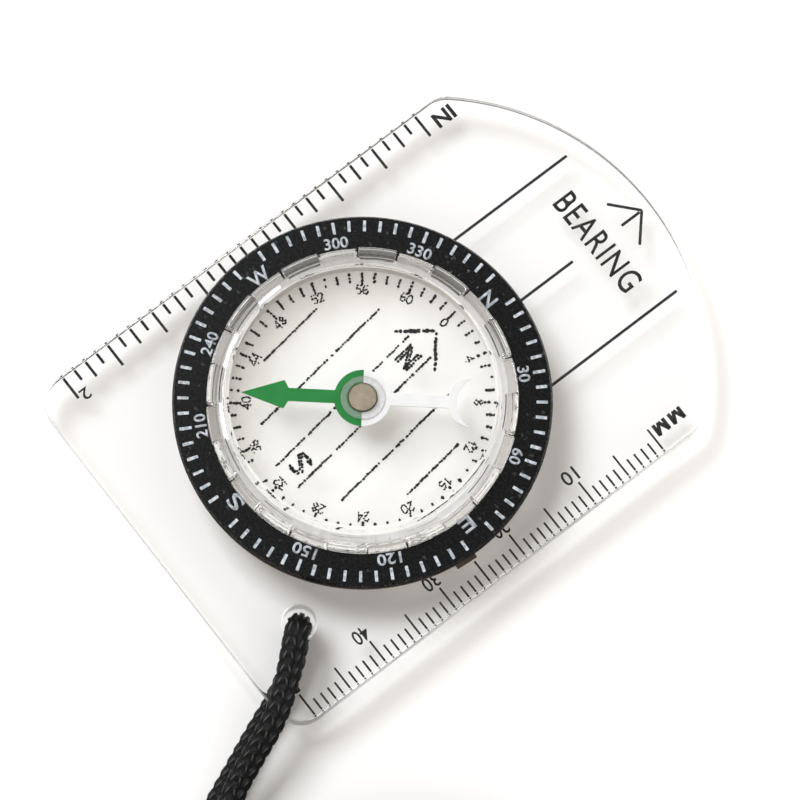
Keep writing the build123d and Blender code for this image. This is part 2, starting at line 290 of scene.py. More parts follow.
    def scuffs(self):
        """Pale scuff marks on the bezel, thick between its 330 and N marks and thin beside them."""
        place = self.add("ShaderNodeSeparateXYZ")
        self.join(self.place(), place.inputs[0])
        turn = self.math("ARCTAN2", place.outputs[1], place.outputs[0])
        off = self.math("ABSOLUTE", self.math("SUBTRACT", turn, math.radians(SCUFF_MIDDLE)))
        near = self.remap(off, 0, math.radians(SCUFF_SPREAD), 1, 0)
        marks = self.noise(1300, 4, 0.75, self.stretched((1, 0.6, 1)))
        threshold = self.math("SUBTRACT", SCUFF_THRESHOLD, self.math("MULTIPLY", near, SCUFF_GAIN))
        return self.remap(self.math("SUBTRACT", marks, threshold), 0, 0.03, 0, 1)


def grey(value, tint=(1, 1, 1)):
    return (value * tint[0], value * tint[1], value * tint[2], 1)


# ---------------------------------------------------------------- materials

# Where the bezel is scuffed, in degrees anticlockwise of +X
SCUFF_MIDDLE = 106.0
SCUFF_SPREAD = 26.0

# The noise has to pass the threshold to show as a scuff, and the gain lowers it in the middle
SCUFF_THRESHOLD = 0.78
SCUFF_GAIN = 0.17

# The liquid fills the capsule up to its inner faces
WET_RADIUS = 15.55
WET_BOTTOM = 0.9
WET_TOP = 9.45
GLUE_RADIUS = 16.53
GLUE_BOTTOM = high("capsule_base").z - 0.1
GLUE_TOP = high("capsule_seal").z + 0.1
PLUG_PLACE = tuple((low("filler_plug") + high("filler_plug")) / 2)[:2]
PLUG_REACH = (high("filler_plug").x - low("filler_plug").x) / 2 + 0.03
PLUG_BOTTOM = low("filler_plug").z + 0.02

# The hooks stand outside this radius
HOOK_INNER_RADIUS = 16.7

PLASTIC_IOR = 1.49
FILM_IOR = 1.03
FLOOR_DARK = (0.875, 0.864, 0.85, 1)
FLOOR_LIGHT = (0.88, 0.869, 0.855, 1)


def clear_plastic(
    name,
    colour,
    ior,
    rough_high,
    wall,
    scratch=0.25,
    filled=False,
    clear=1.0,
    edge_rough=0.0,
    painted_hook_highlight=0.0,
):
    """Clear plastic: clear is how much it lets through, edge_rough how much rougher its upright walls are
    and the last argument how much milkier the hooks outside the capsule's wall are made, a painted
    highlight for the light they catch."""
    m = Nodes(name)
    m.set(Base_Color=colour, IOR=ior)
    m.shader.inputs["Transmission Weight"].default_value = clear
    fine = m.noise(900, 3, 0.6)
    rough = m.remap(fine, 0.55, 0.75, 0.0, rough_high)
    # Painted highlight: outside the capsule's wall the hooks let less through and show their whiter base
    # colour.
    if painted_hook_highlight:
        within_wall = m.in_cylinder((0, 0), HOOK_INNER_RADIUS, 0, 2 * RING_TOP)
        m.join(m.remap(within_wall, 0, 1, clear - painted_hook_highlight, clear), m.shader.inputs["Transmission Weight"])
    if edge_rough:
        rough = m.math("ADD", rough, m.remap(m.levelness(), 0.3, 0.9, edge_rough, 0))
    m.join(rough, m.shader.inputs["Roughness"])
    scratches = m.noise(60, 4, 0.7, m.stretched((1, 14, 1)))
    m.bump(scratches, scratch, 0.00002)
    m.clear_to_lamps(wall, grey(1), m.wetted() if filled else None)
    return m.material


def black_bezel_material():
    m = Nodes("black_bezel")
    grain = m.noise(2600, 4, 0.65)
    specks = m.noise(1500, 2, 0.5)
    dust = m.remap(specks, 0.66, 0.72, 0, 1)
    base = m.blend(m.remap(grain, 0.3, 0.7, 0, 1), grey(0.003), grey(0.006))
    dusty = m.blend(dust, base, grey(0.035, (1, 1.02, 1.06)))
    colour = m.blend(m.scuffs(), dusty, grey(0.16, (1, 1.02, 1.08)))
    m.join(colour, m.shader.inputs["Base Color"])
    m.join(m.remap(grain, 0.3, 0.7, 0.22, 0.32), m.shader.inputs["Roughness"])
    m.shader.inputs["Specular IOR Level"].default_value = 0.13
    m.bump(grain, 0.2, 0.00002)
    return m.material


def white_ink_material():
    m = Nodes("white_ink")
    streaks = m.noise(1800, 3, 0.6)
    tone = m.blend(m.remap(streaks, 0.35, 0.6, 0, 1), (0.2, 0.225, 0.25, 1), (0.5, 0.54, 0.58, 1))
    m.join(tone, m.shader.inputs["Base Color"])
    m.set(Roughness=0.6)
    m.bump(streaks, 0.3, 0.00002)
    return m.material


def black_ink_material():
    m = Nodes("black_ink")
    cover = m.noise(2200, 3, 0.6)
    tone = m.blend(m.remap(cover, 0.4, 0.7, 0, 1), grey(0.004), grey(0.014))
    m.join(tone, m.shader.inputs["Base Color"])
    m.set(Roughness=0.6)
    m.shader.inputs["Specular IOR Level"].default_value = 0.15
    m.bump(cover, 0.2, 0.00001)
    m.clear_to_lamps(grey(0.5), grey(0.5))
    return m.material


def washer_material():
    m = Nodes("bronze_washer")
    tone = m.noise(300, 4, 0.6)
    m.paint(tone, (0.1, 0.075, 0.055, 1), (0.17, 0.13, 0.1, 1))
    m.join(m.remap(tone, 0.3, 0.7, 0.35, 0.5), m.shader.inputs["Roughness"])
    m.set(Metallic=0.3)
    m.bump(tone, 0.1, 0.00002)
    return m.material


def metal_material(name, dark, light, rough):
    m = Nodes(name)
    rings = m.noise(1200, 2, 0.5)
    tone = m.noise(420, 3, 0.6)
    m.paint(tone, dark, light)
    m.join(m.remap(rings, 0.3, 0.7, rough - 0.06, rough + 0.08), m.shader.inputs["Roughness"])
    m.set(Metallic=1.0)
    m.bump(rings, 0.15, 0.00002)
    return m.material


def green_material():
    m = Nodes("green_needle")
    tone = m.noise(500, 3, 0.5)
    m.paint(tone, (0.005, 0.145, 0.022, 1), (0.008, 0.175, 0.03, 1))
    m.set(Roughness=0.4)
    m.shader.inputs["Specular IOR Level"].default_value = 0.15
    m.bump(tone, 0.08, 0.00002)
    return m.material


def white_needle_material():
    m = Nodes("white_needle")
    tone = m.noise(500, 3, 0.5)
    m.paint(tone, grey(0.63), grey(0.69))
    m.set(Roughness=0.4)
    m.bump(tone, 0.08, 0.00002)
    return m.material


def silicone_material():
    m = Nodes("silicone")
    tone = m.noise(700, 2, 0.5)
    m.paint(tone, grey(0.6), grey(0.7))
    m.shader.inputs["Transmission Weight"].default_value = 0.7
    m.set(Roughness=0.4)
    m.bump(tone, 0.1, 0.00002)
    m.clear_to_lamps(grey(0.6), grey(0.9))
    return m.material


def jewel_material():
    m = Nodes("jewel")
    tone = m.noise(900, 2, 0.5)
    m.paint(tone, (0.20, 0.16, 0.13, 1), (0.28, 0.23, 0.19, 1))
    m.set(Roughness=0.25)
    m.bump(tone, 0.05, 0.00001)
    return m.material


def cord_material():
    """Fine yarns inside each stitch, from the braid's own coordinates, and a painted highlight: the stitch
    crests are coloured lighter, standing in for the light they catch.
    """
    m = Nodes("black_cord")
    uv = m.add("ShaderNodeUVMap", uv_map="braid").outputs["UV"]
    yarns = m.noise(9, 2, 0.5, m.stretched((14, 2.2, 1), uv))
    wear = m.noise(160, 3, 0.6)
    # Stitch height stored on the braid's vertices, the mask for the painted highlight on the crests.
    painted_highlight_crest = m.add("ShaderNodeAttribute", attribute_name="painted_highlight_crest").outputs["Fac"]
    black = m.blend(m.remap(yarns, 0.35, 0.65, 0, 1), grey(0.001), grey(0.003))
    # Painted highlight: a lighter grey on the stitch crests in place of the glint of light on them.
    painted_stitch_highlight = m.blend(m.remap(yarns, 0.38, 0.62, 0, 1), grey(0.025), grey(0.11))
    colour = m.blend(m.remap(painted_highlight_crest, 0.78, 0.98, 0, 1), black, painted_stitch_highlight)
    worn = m.blend(m.remap(wear, 0.62, 0.78, 0, 0.4), colour, (0.018, 0.013, 0.01, 1))
    m.join(worn, m.shader.inputs["Base Color"])
    m.join(m.remap(yarns, 0.3, 0.7, 0.16, 0.3), m.shader.inputs["Roughness"])
    m.shader.inputs["Specular IOR Level"].default_value = 0.18
    m.bump(yarns, 0.6, 0.00006)
    return m.material


def floor_material():
    m = Nodes("floor")
    tone = m.noise(4, 2, 0.5)
    m.paint(tone, FLOOR_DARK, FLOOR_LIGHT)
    m.set(Roughness=0.9)
    m.shader.inputs["Specular IOR Level"].default_value = 0.1
    return m.material


ACRYLIC = clear_plastic(
    "clear_acrylic", (1, 1, 1, 1), PLASTIC_IOR, 0.02, (0.24, 0.22, 0.205, 1), edge_rough=0.4
)
# The capsule's hooks are made milkier as a painted highlight for the light they catch.
CAPSULE = clear_plastic(
    "clear_capsule",
    (1, 1, 0.995, 1),
    PLASTIC_IOR,
    0.03,
    (0.66, 0.61, 0.56, 1),
    scratch=0.06,
    filled=True,
    painted_hook_highlight=0.08,
)
FILM = clear_plastic("clear_film", (1, 1, 0.99, 1), FILM_IOR, 0.02, grey(0.9), clear=0.78)
NEEDLE_CLEAR = clear_plastic(
    "clear_needle", (0.98, 0.98, 0.98, 1), PLASTIC_IOR, 0.06, grey(0.4), scratch=0.08, clear=0.85
)
BLACK_INK = black_ink_material()
WHITE_INK = white_ink_material()

NODE_MATERIALS = {
    "baseplate": ACRYLIC,
    "friction_washer": washer_material(),
    "bezel_ring": black_bezel_material(),
    "capsule_housing": CAPSULE,
    "capsule_base": CAPSULE,
    "capsule_seal": silicone_material(),
    "filler_plug": CAPSULE,
    "dial_disc": FILM,
    "pivot_pin": metal_material("steel_pin", grey(0.55), grey(0.7), 0.2),
    "needle_south_bar": white_needle_material(),
    "needle_north_arrow": green_material(),
    "needle_collar": NEEDLE_CLEAR,
    "hub_magnet": metal_material("nickel_magnet", (0.1, 0.084, 0.063, 1), (0.2, 0.168, 0.124, 1), 0.36),
    "jewel_bearing": jewel_material(),
}
for name, material in NODE_MATERIALS.items():
    NODES[name].data.materials.clear()
    NODES[name].data.materials.append(material)


# ---------------------------------------------------------------- lanyard

COIL_POINTS_PER_TURN = 16
COIL_RADII = (18.75, 15.6, 12.55)
COIL_START_ANGLE = 249.2
COIL_END_ANGLE = 185.5
JOG_SHARE = 0.2
STITCH_LENGTH = 1.5
STITCH_COLUMNS = 5
SEGMENTS = 40
FINE_STEP = 0.15
COARSE_STEP = 0.375
FINE_LENGTH = 58.0
CORE_RADIUS = 1.08
STITCH_HEIGHT = 0.42
STITCH_SLANT = 1.05

# How far the top ring of the coil settles between the ones below it
TOP_RING_SETTLE = 0.05

# The knot is a trefoil: its mean radius, how far that swings, and its height either way
KNOT_POINTS = 72
KNOT_RADIUS = 1.95
KNOT_SWING = 0.85
KNOT_RISE = 1.05


def coil_turns():
    """Radius and height of each whole turn: three rings inward, three outward above, and one on top."""
    middle = CORD_DIAMETER / 2
    levels = [middle, middle + CORD_DIAMETER, middle + 2 * CORD_DIAMETER - TOP_RING_SETTLE]
    rings = [(r, levels[0]) for r in COIL_RADII]
    rings += [(r, levels[1]) for r in reversed(COIL_RADII)]
    rings += [(COIL_RADII[0], levels[2])]
    return rings


def smooth(t):
    t = min(max(t, 0.0), 1.0)
    return t * t * (3 - 2 * t)


def coil_points():
    rings = coil_turns()
    last_turn = ((COIL_END_ANGLE - COIL_START_ANGLE) % 360) / 360
    total = len(rings) - 1 + last_turn
    count = round(total * COIL_POINTS_PER_TURN)
    widen = 1 / math.cos(math.pi / COIL_POINTS_PER_TURN)
    points = []
    for k in range(1, count):
        turn = k * total / count
        ring = int(turn)
        share = turn - ring
        radius, height = rings[ring]
        if ring + 1 < len(rings):
            jog = smooth((share - 1 + JOG_SHARE) / JOG_SHARE)
            radius += (rings[ring + 1][0] - radius) * jog
            height += (rings[ring + 1][1] - height) * jog
        angle = math.radians(COIL_START_ANGLE + 360 * turn)
        points.append(
            (
                COIL_CENTRE[0] + radius * widen * math.cos(angle),
                COIL_CENTRE[1] + radius * widen * math.sin(angle),
                height,
            )
        )
    return points


def route_line(name, route):
    """The points of a smooth NURBS line that has the route as its control points."""
    data = bpy.data.curves.new(name + "_line", "CURVE")
    data.dimensions = "3D"
    spline = data.splines.new("NURBS")
    spline.points.add(len(route) - 1)
    for point, (x, y, z) in zip(spline.points, route):
        point.co = (x * MM, y * MM, z * MM, 1)
    spline.order_u = 3
    spline.use_endpoint_u = True
    spline.resolution_u = 12
    line = bpy.data.objects.new(name + "_line", data)
    bpy.context.scene.collection.objects.link(line)
    bpy.context.view_layer.update()
    mesh = bpy.data.meshes.new_from_object(line.evaluated_get(bpy.context.evaluated_depsgraph_get()))
    points = [v.co.copy() for v in mesh.vertices]
    bpy.data.objects.remove(line)
    return points


def stations(points, fine_length):
    """Evenly spaced places along a line: (point, distance), close together over fine_length."""
    lengths = [0.0]
    for a, b in zip(points, points[1:]):
        lengths.append(lengths[-1] + (b - a).length)
    found = []
    distance, index = 0.0, 0
    while distance < lengths[-1]:
        while lengths[index + 1] < distance:
            index += 1
        share = (distance - lengths[index]) / max(lengths[index + 1] - lengths[index], 1e-12)
        found.append((points[index].lerp(points[index + 1], share), distance))
        distance += (FINE_STEP if distance < fine_length * MM else COARSE_STEP) * MM
    found.append((points[-1], lengths[-1]))
    return found


def stitch(column, row):
    """Height of the braid's surface, 0 to 1: V-shaped stitches in columns along the cord."""
    half = abs(2 * (column % 1.0) - 1)
    across = math.sin(math.pi * ((2 * column) % 1.0)) ** 0.45
    along = (row - STITCH_SLANT * half) % 1.0
    return across * math.sin(math.pi * along) ** 0.8


def braided_cord(name, points, core=CORE_RADIUS, height=STITCH_HEIGHT, fine_length=FINE_LENGTH, phase=0.0):
    places = stations(points, fine_length)
    bm = bmesh.new()
    uv = bm.loops.layers.uv.new("braid")
    # Each vertex keeps its stitch height, which the cord's material uses to paint a highlight on the
    # crests.
    painted_highlight_crest = bm.verts.layers.float.new("painted_highlight_crest")
    rings = []
    side = Vector((0, 0, 1)).cross(places[1][0] - places[0][0])
    if side.length < 1e-9:
        side = Vector((1, 0, 0))
    for k, (point, distance) in enumerate(places):
        ahead = places[min(k + 1, len(places) - 1)][0] - places[max(k - 1, 0)][0]
        ahead.normalize()
        side = (side - ahead * side.dot(ahead)).normalized()
        other = ahead.cross(side)
        row = distance / (STITCH_LENGTH * MM) + phase
        ring = []
        for s in range(SEGMENTS):
            turn = s / SEGMENTS
            raised = stitch(turn * STITCH_COLUMNS, row)
            radius = core + height * raised
            angle = 2 * math.pi * turn
            vertex = bm.verts.new(point + (side * math.cos(angle) + other * math.sin(angle)) * radius * MM)
            vertex[painted_highlight_crest] = raised
            ring.append(vertex)
        rings.append((ring, row))
    for (first, row_a), (second, row_b) in zip(rings, rings[1:]):
        for s in range(SEGMENTS):
            t = (s + 1) % SEGMENTS
            face = bm.faces.new((first[s], first[t], second[t], second[s]))
            face.smooth = True
            corners = ((s, row_a), (s + 1, row_a), (s + 1, row_b), (s, row_b))
            for loop, (column, row) in zip(face.loops, corners):
                loop[uv].uv = (column / SEGMENTS * STITCH_COLUMNS, row)
    bm.faces.new(list(reversed(rings[0][0])))
    bm.faces.new(rings[-1][0])
    return finish_mesh(name, bm, CORD)


def finish_mesh(name, bm, material):
    mesh = bpy.data.meshes.new(name)
    bm.to_mesh(mesh)
    bm.free()
    mesh.materials.append(material)
    piece = bpy.data.objects.new(name, mesh)
    bpy.context.scene.collection.objects.link(piece)
    return piece


CORD = cord_material()


def knot_piece():
    """The overhand knot that joins the two ends: a tight trefoil of the same cord."""
    points = []
    centre = Vector(KNOT_CENTRE)
    for k in range(KNOT_POINTS + 1):
        t = 2 * math.pi * k / KNOT_POINTS
        swing = KNOT_RADIUS + KNOT_SWING * math.cos(3 * t)
        offset = Vector((swing * math.cos(2 * t), swing * math.sin(2 * t), KNOT_RISE * math.sin(3 * t)))
        points.append((centre + offset) * MM)
    return braided_cord("lanyard_end_knot", points, core=1.1, height=0.2, fine_length=0)


def make_lanyard():
    knot = knot_piece()
    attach(knot, "base")
    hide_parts("lanyard_knot")
    front_line = route_line("front", FRONT_ROUTE + coil_points() + TAIL_ROUTE)
    front = braided_cord("lanyard_cord", front_line)
    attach(front, "base")
    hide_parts("lanyard_front_strand", "lanyard_coil", "lanyard_tail")
    back_line = route_line("back", BACK_ROUTE)
    back = braided_cord("lanyard_return_cord", back_line, phase=0.4)
    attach(back, "base")
    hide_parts("lanyard_back_strand")
    for piece, line, pieces in ((front, front_line, [knot]), (back, back_line, [])):
        length = sum((b - a).length for a, b in zip(line, line[1:]))
        print(piece.name, "length", round(length / MM, 1), "mm")


make_lanyard()

# ---------------------------------------------------------------- printed marks

INK = 0.02
INK_GAP = 0.01


class Print:
    """Flat printed marks, gathered into one mesh between two heights."""

    def __init__(self, bottom):
        self.bm = bmesh.new()
        self.bottom = bottom * MM
        self.top = (bottom + INK) * MM

    def shape(self, outline):
        """A flat shape from its closed outline of (x, y) in millimetres."""
        lower = [self.bm.verts.new((x * MM, y * MM, self.bottom)) for x, y in outline]
        upper = [self.bm.verts.new((x * MM, y * MM, self.top)) for x, y in outline]
        self.bm.faces.new(list(reversed(lower)))
        self.bm.faces.new(upper)
        for k in range(len(outline)):
            n = (k + 1) % len(outline)
            self.bm.faces.new((lower[k], lower[n], upper[n], upper[k]))

    def bar(self, start, end, width, rough=0.0):
        """A straight mark with rounded ends; rough makes its edges uneven."""
        a, b = Vector(start), Vector(end)
        along = (b - a).normalized()
        across = Vector((-along.y, along.x)) * (width / 2)
        corner = min(width * 0.2, 0.05)
        outline = []
        for point, out in ((a, -along), (b, along)):
            first = across if out == along else -across
            sides = (first, -first)
            for hand in sides:
                inward = hand.normalized() * corner
                on_end = point + hand - inward
                on_side = point + hand - out * corner
                pair = (on_side, on_end) if hand == sides[0] else (on_end, on_side)
                outline += [p + hand.normalized() * random.uniform(-rough, rough) for p in pair]
        self.shape([(p.x, p.y) for p in outline])

    def text(self, words, centre, height, width, angle, weight=0.0, spacing=1.0):
        """Letters fitted to a box; angle 0 reads along +X."""
        data = bpy.data.curves.new("letters", "FONT")
        data.body = words
        data.resolution_u = 4
        data.offset = weight
        data.space_character = spacing
        letters = bpy.data.objects.new("letters", data)
        bpy.context.scene.collection.objects.link(letters)
        bpy.context.view_layer.update()
        flat = bpy.data.meshes.new_from_object(letters.evaluated_get(bpy.context.evaluated_depsgraph_get()))
        bpy.data.objects.remove(letters)
        xs = [v.co.x for v in flat.vertices]
        ys = [v.co.y for v in flat.vertices]
        size_x, size_y = max(xs) - min(xs), max(ys) - min(ys)
        middle = Vector(((max(xs) + min(xs)) / 2, (max(ys) + min(ys)) / 2))
        turn = Matrix.Rotation(math.radians(angle), 2)
        part = bmesh.new()
        part.from_mesh(flat)
        bmesh.ops.dissolve_limit(
            part, angle_limit=0.001, verts=part.verts[:], edges=part.edges[:]
        )
        for vertex in part.verts:
            local = Vector(
                ((vertex.co.x - middle.x) / size_x * width, (vertex.co.y - middle.y) / size_y * height)
            )
            place = turn @ local + Vector(centre)
            vertex.co = (place.x * MM, place.y * MM, self.bottom)
        grown = bmesh.ops.extrude_face_region(part, geom=part.faces[:])
        for item in grown["geom"]:
            if isinstance(item, bmesh.types.BMVert):
                item.co.z = self.top
        bmesh.ops.recalc_face_normals(part, faces=part.faces[:])
        joined = bpy.data.meshes.new("letters_flat")
        part.to_mesh(joined)
        part.free()
        self.bm.from_mesh(joined)

    def blob(self, x, y, radius, stretch=1.0, angle=0.0):
        """A small uneven dot of ink."""
        corners = 7
        outline = []
        for k in range(corners):
            turn = 2 * math.pi * k / corners
            r = radius * random.uniform(0.75, 1.2)
            px, py = r * stretch * math.cos(turn), r * math.sin(turn)
            outline.append(
                (
                    x + px * math.cos(angle) - py * math.sin(angle),
                    y + px * math.sin(angle) + py * math.cos(angle),
                )
            )
        self.shape(outline)

    def dotted(self, points, width, coverage):
        """An uneven line of ink dots along (x, y) points."""
        for a, b in zip(points, points[1:]):
            length = math.hypot(b[0] - a[0], b[1] - a[1])
            angle = math.atan2(b[1] - a[1], b[0] - a[0])
            travelled = 0.0
            while travelled < length:
                if random.random() < coverage:
                    wander = random.uniform(-0.12, 0.12) * width
                    self.blob(
                        a[0] + travelled * math.cos(angle) - wander * math.sin(angle),
                        a[1] + travelled * math.sin(angle) + wander * math.cos(angle),
                        width / 2 * random.uniform(0.8, 1.15),
                        random.uniform(1.0, 1.35),
                        angle,
                    )
                travelled += width * random.uniform(0.75, 1.25)

    def piece(self, name, material, body):
        made = finish_mesh(name, self.bm, material)
        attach(made, body)
        return made


UNDER_PLATE = PLATE_BOTTOM - INK_GAP - INK

# Inch scale
INCH = 25.4
INCH_ZERO_Y = 25.8
INCH_TICKS = 33
INCH_LINE = 0.33
QUARTER_TICK = 2.9
EIGHTH_TICK = 2.1
SIXTEENTH_TICK = 1.4
RULER_TEXT_TURN = -90
EDGE_INSET = 0.15
PLATE_LEFT = low("baseplate").x
PLATE_RIGHT = high("baseplate").x


def inch_scale():
    ink = Print(UNDER_PLATE)
    outer = PLATE_LEFT + EDGE_INSET
    for k in range(INCH_TICKS):
        y = INCH_ZERO_Y - k * INCH / 16
        length = QUARTER_TICK if k % 4 == 0 else EIGHTH_TICK if k % 2 == 0 else SIXTEENTH_TICK
        ink.bar((outer, y), (outer + length, y), INCH_LINE)
    ink.text("IN", (-21.5, 28.5), 1.85, 2.55, RULER_TEXT_TURN, 0.03)
    ink.text("2", (-20.5, -24.05), 1.4, 1.1, RULER_TEXT_TURN, 0.01)
    return ink.piece("print_inch_scale", BLACK_INK, "base")


# Millimetre scale
MILLIMETRE_ZERO_Y = 24.1
MILLIMETRE_TICKS = 51
MILLIMETRE_LINE = 0.24
LONG_TICK = 2.9
SHORT_TICK = 1.6
MILLIMETRE_INSET = 0.45
FIGURE_X = 20.8
FIGURE_SHIFT = 0.4
FIGURE_HEIGHT = 1.75
FIGURE_WIDTH = 1.9
MM_SIGN = (22.65, 26.65)
MM_SIGN_PITCH = 2.2
MM_SIGN_WIDTH = 1.36
MM_SIGN_HEIGHT = 1.5
MM_SIGN_STROKE = 0.44


def millimetre_scale():
    ink = Print(UNDER_PLATE)
    outer = PLATE_RIGHT - EDGE_INSET - MILLIMETRE_INSET
    for k in range(MILLIMETRE_TICKS):
        y = MILLIMETRE_ZERO_Y - k
        length = LONG_TICK if k % 5 == 0 else SHORT_TICK
        ink.bar((outer, y), (outer - length, y), MILLIMETRE_LINE)
    for tens in range(10, MILLIMETRE_TICKS, 10):
        place = (FIGURE_X, MILLIMETRE_ZERO_Y - tens - FIGURE_SHIFT)
        ink.text(str(tens), place, FIGURE_HEIGHT, FIGURE_WIDTH, RULER_TEXT_TURN, 0.01)
    for hand in (-1, 1):
        bold_m(ink, (MM_SIGN[0], MM_SIGN[1] + hand * MM_SIGN_PITCH / 2))
    return ink.piece("print_millimetre_scale", BLACK_INK, "base")


def bold_m(ink, centre):
    """A capital M of four strokes, with its top toward +X."""
    corners = [(-1, -1), (-1, 1), (0, -0.9), (1, 1), (1, -1)]
    places = [
        (centre[0] + y * MM_SIGN_HEIGHT / 2, centre[1] - x * MM_SIGN_WIDTH / 2) for x, y in corners
    ]
    for start, end in zip(places, places[1:]):
        ink.bar(start, end, MM_SIGN_STROKE)


BEARING_LINES = ((-9.1, 36.8), (1.2, 29.6), (11.2, 36.9))
BEARING_LINE_START = 18.2
BEARING_LINE = 0.34
CHEVRON_TIP = (1.3, 39.65)
CHEVRON_ARM = (3.05, 2.75)
CHEVRON_STEM = 3.0
CHEVRON_GAP = 0.35
BEARING_WORD = (1.15, 33.3)
BEARING_WORD_HEIGHT = 2.95
BEARING_WORD_WIDTH = 13.4


def bearing_print():
    ink = Print(UNDER_PLATE)
    for x, end in BEARING_LINES:
        ink.bar((x, BEARING_LINE_START), (x, end), BEARING_LINE)
    tip_x, tip_y = CHEVRON_TIP
    for hand in (-1, 1):
        arm = (tip_x + hand * CHEVRON_ARM[0], tip_y - CHEVRON_ARM[1])
        ink.bar(arm, (tip_x, tip_y - 0.02 * (1 + hand)), BEARING_LINE)
    ink.bar((tip_x, tip_y - CHEVRON_STEM), (tip_x, tip_y - CHEVRON_GAP), BEARING_LINE)
    ink.text("BEARING", BEARING_WORD, BEARING_WORD_HEIGHT, BEARING_WORD_WIDTH, 0, 0.007, 1.12)
    return ink.piece("print_bearing_arrow", BLACK_INK, "base")


# Bezel
BEZEL_LABELS = ("N", "30", "60", "E", "120", "150", "S", "210", "240", "W", "300", "330")
BEZEL_TICK_OUTER = 21.0
BEZEL_TICK_INNER = 19.72
BEZEL_TICK_WIDTH = 0.36
NUMBERED_TICK_EXTRA = 0.12
LABEL_RADIUS = 18.55
DIGIT_WIDTH = 0.93
LETTER_WIDTHS = {"N": 1.6, "E": 1.55, "S": 1.75, "W": 2.55}
LABEL_HEIGHT = 1.35
LETTER_HEIGHT = 1.75


def polar(radius, degrees):
    angle = math.radians(degrees)
    return (radius * math.cos(angle), radius * math.sin(angle))


def bezel_print():
    ink = Print(RING_TOP + INK_GAP / 2)
    for degrees in range(0, 360, 5):
        if degrees % 90 == 0:
            continue
        angle = 90 + DIAL_TURN - degrees
        inner = BEZEL_TICK_INNER - (NUMBERED_TICK_EXTRA if degrees % 30 == 0 else 0)
        ink.bar(polar(inner, angle), polar(BEZEL_TICK_OUTER, angle), BEZEL_TICK_WIDTH, 0.02)
    for k, label in enumerate(BEZEL_LABELS):
        angle = 90 + DIAL_TURN - 30 * k
        letter = label in LETTER_WIDTHS
        height = LETTER_HEIGHT if letter else LABEL_HEIGHT
        width = LETTER_WIDTHS.get(label) or DIGIT_WIDTH * len(label)
        ink.text(label, polar(LABEL_RADIUS, angle), height, width, angle - 90, 0.02)
    return ink.piece("print_bezel_degrees", WHITE_INK, "dial")


# Dial disc
DISC_TURN = 7.5
DISC_LINE = 0.35
DISC_ARROW_LINE = 0.5
DISC_LETTER_LINE = 0.36
DISC_LETTER_DOUBLE = 0.36
DISC_TICK_LINE = 0.38
DISC_LABEL_LINE = 0.23
DISC_TICKS = 64
DISC_LABEL_RADIUS = 13.2
DISC_LABEL_HEIGHT = 1.0
DISC_TICK_INNER = 14.2
DISC_LONG_TICK_INNER = 13.9
DISC_TICK_OUTER = 15.2
DISC_LETTER_HEIGHT = 2.3
DISC_LETTER_NORTH = 7.4
DISC_LETTER_SOUTH = -10.0
DISC_ARROW_TIP = 11.9
DISC_ARROW_FOOT = (3.1, 8.6)

# The disc's lines: how far east each is, and its south and north ends
DISC_LINES = (
    (-11.4, -4.3, 4.1),
    (-6.35, -9.8, 9.4),
    (-1.75, -12.0, 9.5),
    (1.75, -12.0, 9.5),
    (6.3, -9.6, 9.4),
    (11.1, -3.9, 4.2),
)

# Pen strokes of each sign on a grid 1 high and 0.6 wide, centred
ROUND = [(0.3 * math.cos(a), 0.5 * math.sin(a)) for a in (math.radians(30 * k) for k in range(13))]
STROKES = {
    "0": [ROUND],
    "1": [[(-0.15, 0.3), (0.05, 0.5), (0.05, -0.5)]],
    "2": [[(-0.28, 0.3), (-0.1, 0.5), (0.2, 0.45), (0.28, 0.2), (-0.28, -0.5), (0.3, -0.5)]],
    "3": [[(-0.28, 0.4), (0.1, 0.5), (0.25, 0.25), (0, 0.03), (0.28, -0.22), (0.1, -0.5), (-0.28, -0.4)]],
    "4": [[(0.12, -0.5), (0.12, 0.5), (-0.3, -0.15), (0.32, -0.15)]],
    "5": [
        [(0.26, 0.5), (-0.22, 0.5), (-0.25, 0.08), (0.15, 0.1), (0.28, -0.2), (0.1, -0.48), (-0.28, -0.42)],
    ],
    "6": [
        [(0.22, 0.45), (-0.1, 0.42), (-0.28, 0), (-0.2, -0.42), (0.1, -0.5)],
        [(0.1, -0.5), (0.28, -0.25), (0.15, 0.02), (-0.25, -0.05)],
    ],
    "8": [
        [(0, 0.04), (0.24, 0.25), (0, 0.5), (-0.24, 0.25), (0, 0.04)],
        [(0, 0.04), (0.28, -0.24), (0, -0.5), (-0.28, -0.24), (0, 0.04)],
    ],
    "N": [[(-0.3, -0.5), (-0.3, 0.5), (0.3, -0.5), (0.3, 0.5)]],
    "S": [
        [
            (0.28, 0.35), (0.1, 0.5), (-0.2, 0.45), (-0.28, 0.22), (0, 0.02),
            (0.28, -0.22), (0.18, -0.46), (-0.1, -0.5), (-0.28, -0.35),
        ]
    ],
}


def on_disc(east, north):
    """A place on the dial disc, which stands turned from the plate."""
    turn = math.radians(DISC_TURN)
    return (
        east * math.cos(turn) - north * math.sin(turn),
        east * math.sin(turn) + north * math.cos(turn),
    )


def sign(ink, character, middle, height, direction, width, coverage):
    """One dotted sign; direction, in degrees, is where its top points, on the disc."""
    up = Vector(polar(1, direction))
    right = Vector((up.y, -up.x))
    for stroke in STROKES[character]:
        places = [Vector(middle) + right * (x * height) + up * (y * height) for x, y in stroke]
        ink.dotted([on_disc(p.x, p.y) for p in places], width, coverage)


